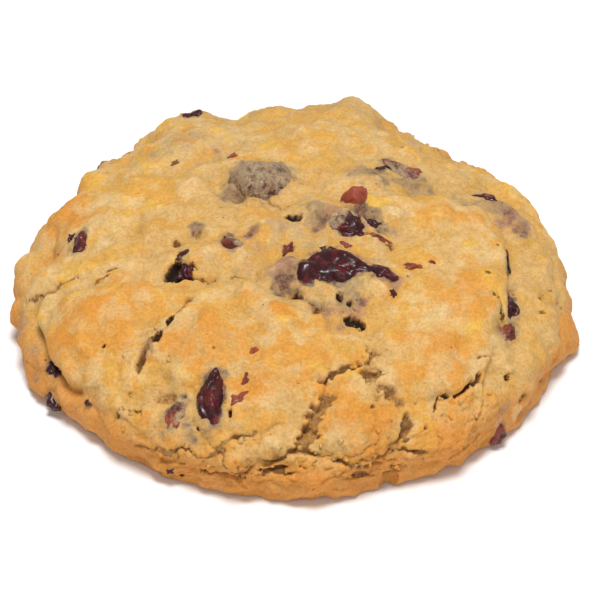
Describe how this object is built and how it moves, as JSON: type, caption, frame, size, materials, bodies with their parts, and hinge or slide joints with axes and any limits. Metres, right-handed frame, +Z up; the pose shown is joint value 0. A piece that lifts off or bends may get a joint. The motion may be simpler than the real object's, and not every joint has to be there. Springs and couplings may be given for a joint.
{
  "type": "oatmeal cookie",
  "caption": "Thick round oatmeal cookie with a lumpy, cracked, golden-brown dome, a flat underside and dried cranberries showing through the crust.",
  "frame": {"origin": "centre of the flat underside", "axes": "+Z up through the crown, -Y towards the front that the picture shows nearest, +X to its right"},
  "size_m": [0.0838, 0.0846, 0.0217],
  "materials": {
    "baked_dough": "matt golden baked crust, browner on the mounds, the lip and the underside",
    "dried_cranberry": "dark red-purple wrinkled skin, moist and glossy"
  },
  "bodies": {
    "root": {"dough": "baked_dough", "cranberry_crown": "dried_cranberry", "cranberry_behind_crown": "dried_cranberry", "cranberry_red": "dried_cranberry", "cranberry_left_of_crown": "dried_cranberry", "cranberry_half_covered": "dried_cranberry", "cranberry_back_right": "dried_cranberry", "cranberry_skyline": "dried_cranberry", "cranberry_left_shoulder": "dried_cranberry", "cranberry_in_pit": "dried_cranberry", "cranberry_front_left": "dried_cranberry", "cranberry_front_low": "dried_cranberry", "cranberry_right_fold": "dried_cranberry", "cranberry_right_low": "dried_cranberry", "cranberry_foot_right": "dried_cranberry", "cranberry_foot_left": "dried_cranberry", "cranberry_left_fold": "dried_cranberry", "cranberry_back": "dried_cranberry", "cranberry_back_left": "dried_cranberry", "cranberry_back_right_flank": "dried_cranberry"}
  },
  "joints": []
}
